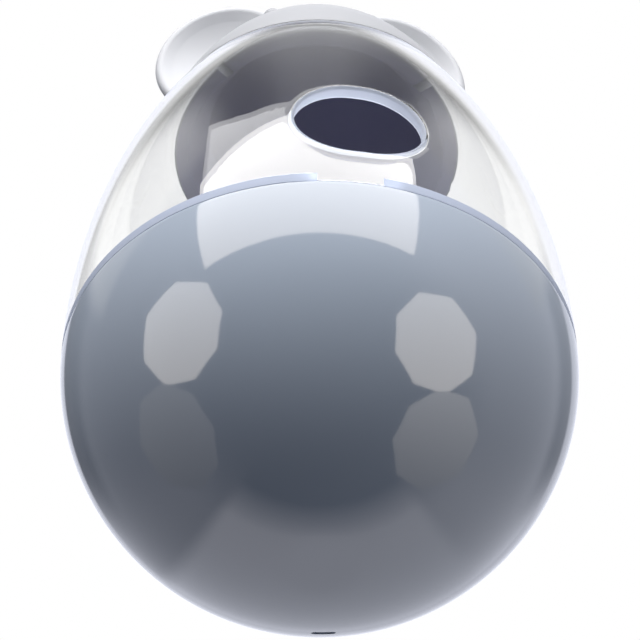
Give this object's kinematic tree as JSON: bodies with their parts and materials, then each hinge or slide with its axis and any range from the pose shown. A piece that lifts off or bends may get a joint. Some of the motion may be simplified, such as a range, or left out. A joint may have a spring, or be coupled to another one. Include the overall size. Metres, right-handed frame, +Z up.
{
  "type": "treat dispensing mouse toy",
  "caption": "Roly-poly cat toy: weighted round bowl, clear egg-shaped treat chamber with a treat hole, twist-lock seam and a mouse head with dished round ears.",
  "frame": {"origin": "middle of the small foot flat under the bowl, on the surface that the toy stands on", "axes": "+Z up along the toy's axis, -Y towards the side with the treat hole"},
  "size_m": [0.072, 0.072, 0.1216],
  "materials": {
    "bowl_plastic": "glossy blue-grey moulded plastic",
    "ballast_iron": "plain casting",
    "floor_plastic": "satin grey moulded plastic",
    "screw_steel": "plated",
    "clear_plastic": "clear moulded plastic",
    "head_plastic": "satin grey moulded plastic",
    "eye_plastic": "glossy black",
    "nose_plastic": "glossy dark grey"
  },
  "bodies": {
    "base": {"base_bowl": "bowl_plastic", "ballast_weight": "ballast_iron", "treat_floor": "floor_plastic", "floor_screw": "screw_steel"},
    "top": {"clear_dome": "clear_plastic", "head_shell": "head_plastic", "ear_left": "head_plastic", "ear_right": "head_plastic", "eye_left": "eye_plastic", "eye_right": "eye_plastic", "nose": "nose_plastic"}
  },
  "joints": [
    {"name": "twist_lock", "type": "hinge", "parent": "base", "child": "top", "pos_m": [0, 0, 0.03572], "axis": [0, 0, 1], "range_deg": [0, 18]}
  ]
}
